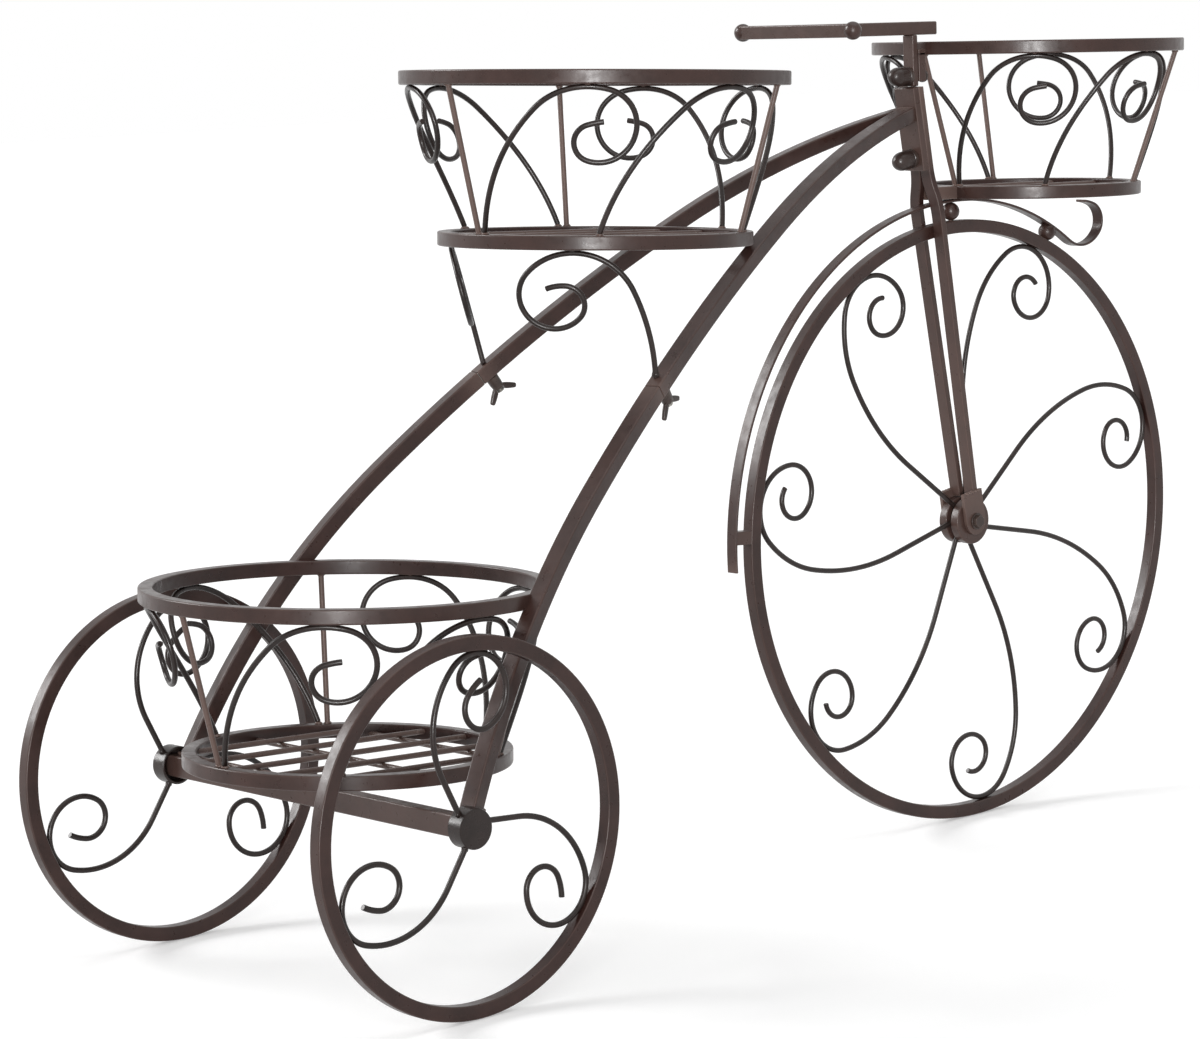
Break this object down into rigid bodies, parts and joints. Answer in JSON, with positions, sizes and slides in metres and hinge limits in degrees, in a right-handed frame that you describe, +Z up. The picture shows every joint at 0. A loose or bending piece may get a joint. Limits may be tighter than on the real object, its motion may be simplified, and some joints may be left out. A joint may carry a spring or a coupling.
{
  "type": "bicycle planter",
  "caption": "Tricycle-shaped plant stand of bent metal bar and wire, with scroll-spoked wheels and round open baskets for pots.",
  "frame": {"origin": "on the ground under the middle of the planter's length and width, where its three wheels stand", "axes": "+X points forwards, from the two rear wheels to the front wheel, +Y to the planter's left and +Z up"},
  "size_m": [1.0018, 0.34, 0.6257],
  "materials": {
    "coated_bar": "dark brown powder coat, satin, slightly mottled",
    "coated_wire": "dark brown-grey powder coat, satin",
    "bare_steel": "dull zinc-plated steel"
  },
  "bodies": {
    "planter": {"fender": "coated_bar", "fender_ball_1": "coated_bar", "fender_ball_2": "coated_bar", "fork_leg_left": "coated_bar", "fork_leg_right": "coated_bar", "front_axle_bolt": "coated_bar", "front_axle_nut": "coated_bar", "front_basket_frame": "coated_bar", "front_basket_scroll_1": "coated_wire", "front_basket_scroll_2": "coated_wire", "front_basket_scroll_3": "coated_wire", "front_basket_scroll_4": "coated_wire", "front_basket_scroll_5": "coated_wire", "front_basket_scroll_6": "coated_wire", "front_hub_disc_left": "coated_bar", "front_hub_disc_right": "coated_bar", "front_rim": "coated_bar", "front_spoke_1": "coated_wire", "front_spoke_2": "coated_wire", "front_spoke_3": "coated_wire", "front_spoke_4": "coated_wire", "front_spoke_5": "coated_wire", "front_spoke_6": "coated_wire", "front_spoke_7": "coated_wire", "handlebar": "coated_bar", "head_plate": "coated_bar", "lower_cap_nut": "coated_bar", "lower_head_bolt": "coated_bar", "lower_rail_left": "coated_bar", "lower_rail_right": "coated_bar", "middle_basket_frame": "coated_bar", "middle_basket_scroll_1": "coated_wire", "middle_basket_scroll_2": "coated_wire", "middle_basket_scroll_3": "coated_wire", "middle_basket_scroll_4": "coated_wire", "middle_basket_scroll_5": "coated_wire", "middle_basket_scroll_6": "coated_wire", "rail_spigot_left": "bare_steel", "rail_spigot_right": "bare_steel", "rear_axle_bar": "coated_bar", "rear_basket_frame": "coated_bar", "rear_basket_scroll_1": "coated_wire", "rear_basket_scroll_2": "coated_wire", "rear_basket_scroll_3": "coated_wire", "rear_basket_scroll_4": "coated_wire", "rear_basket_scroll_5": "coated_wire", "rear_basket_scroll_6": "coated_wire", "rear_hub_and_spokes_left": "coated_wire", "rear_hub_and_spokes_right": "coated_wire", "rear_rim_left": "coated_bar", "rear_rim_right": "coated_bar", "scroll_leg_left": "coated_wire", "scroll_leg_right": "coated_wire", "stem": "coated_bar", "upper_cap_nut": "coated_bar", "upper_head_bolt": "coated_bar", "upper_rail_left": "coated_bar", "upper_rail_right": "coated_bar"},
    "wing_nut_left": {"wing_nut_left": "coated_bar"},
    "wing_nut_right": {"wing_nut_right": "coated_bar"}
  },
  "joints": [
    {"name": "wing_nut_left_turn", "type": "hinge", "parent": "planter", "child": "wing_nut_left", "pos_m": [-0.12781, 0.09148, 0.37551], "axis": [0.5512, -0.1436, -0.8219], "continuous": true},
    {"name": "wing_nut_right_turn", "type": "hinge", "parent": "planter", "child": "wing_nut_right", "pos_m": [-0.12781, -0.09148, 0.37551], "axis": [0.5512, 0.1436, -0.8219], "continuous": true}
  ]
}
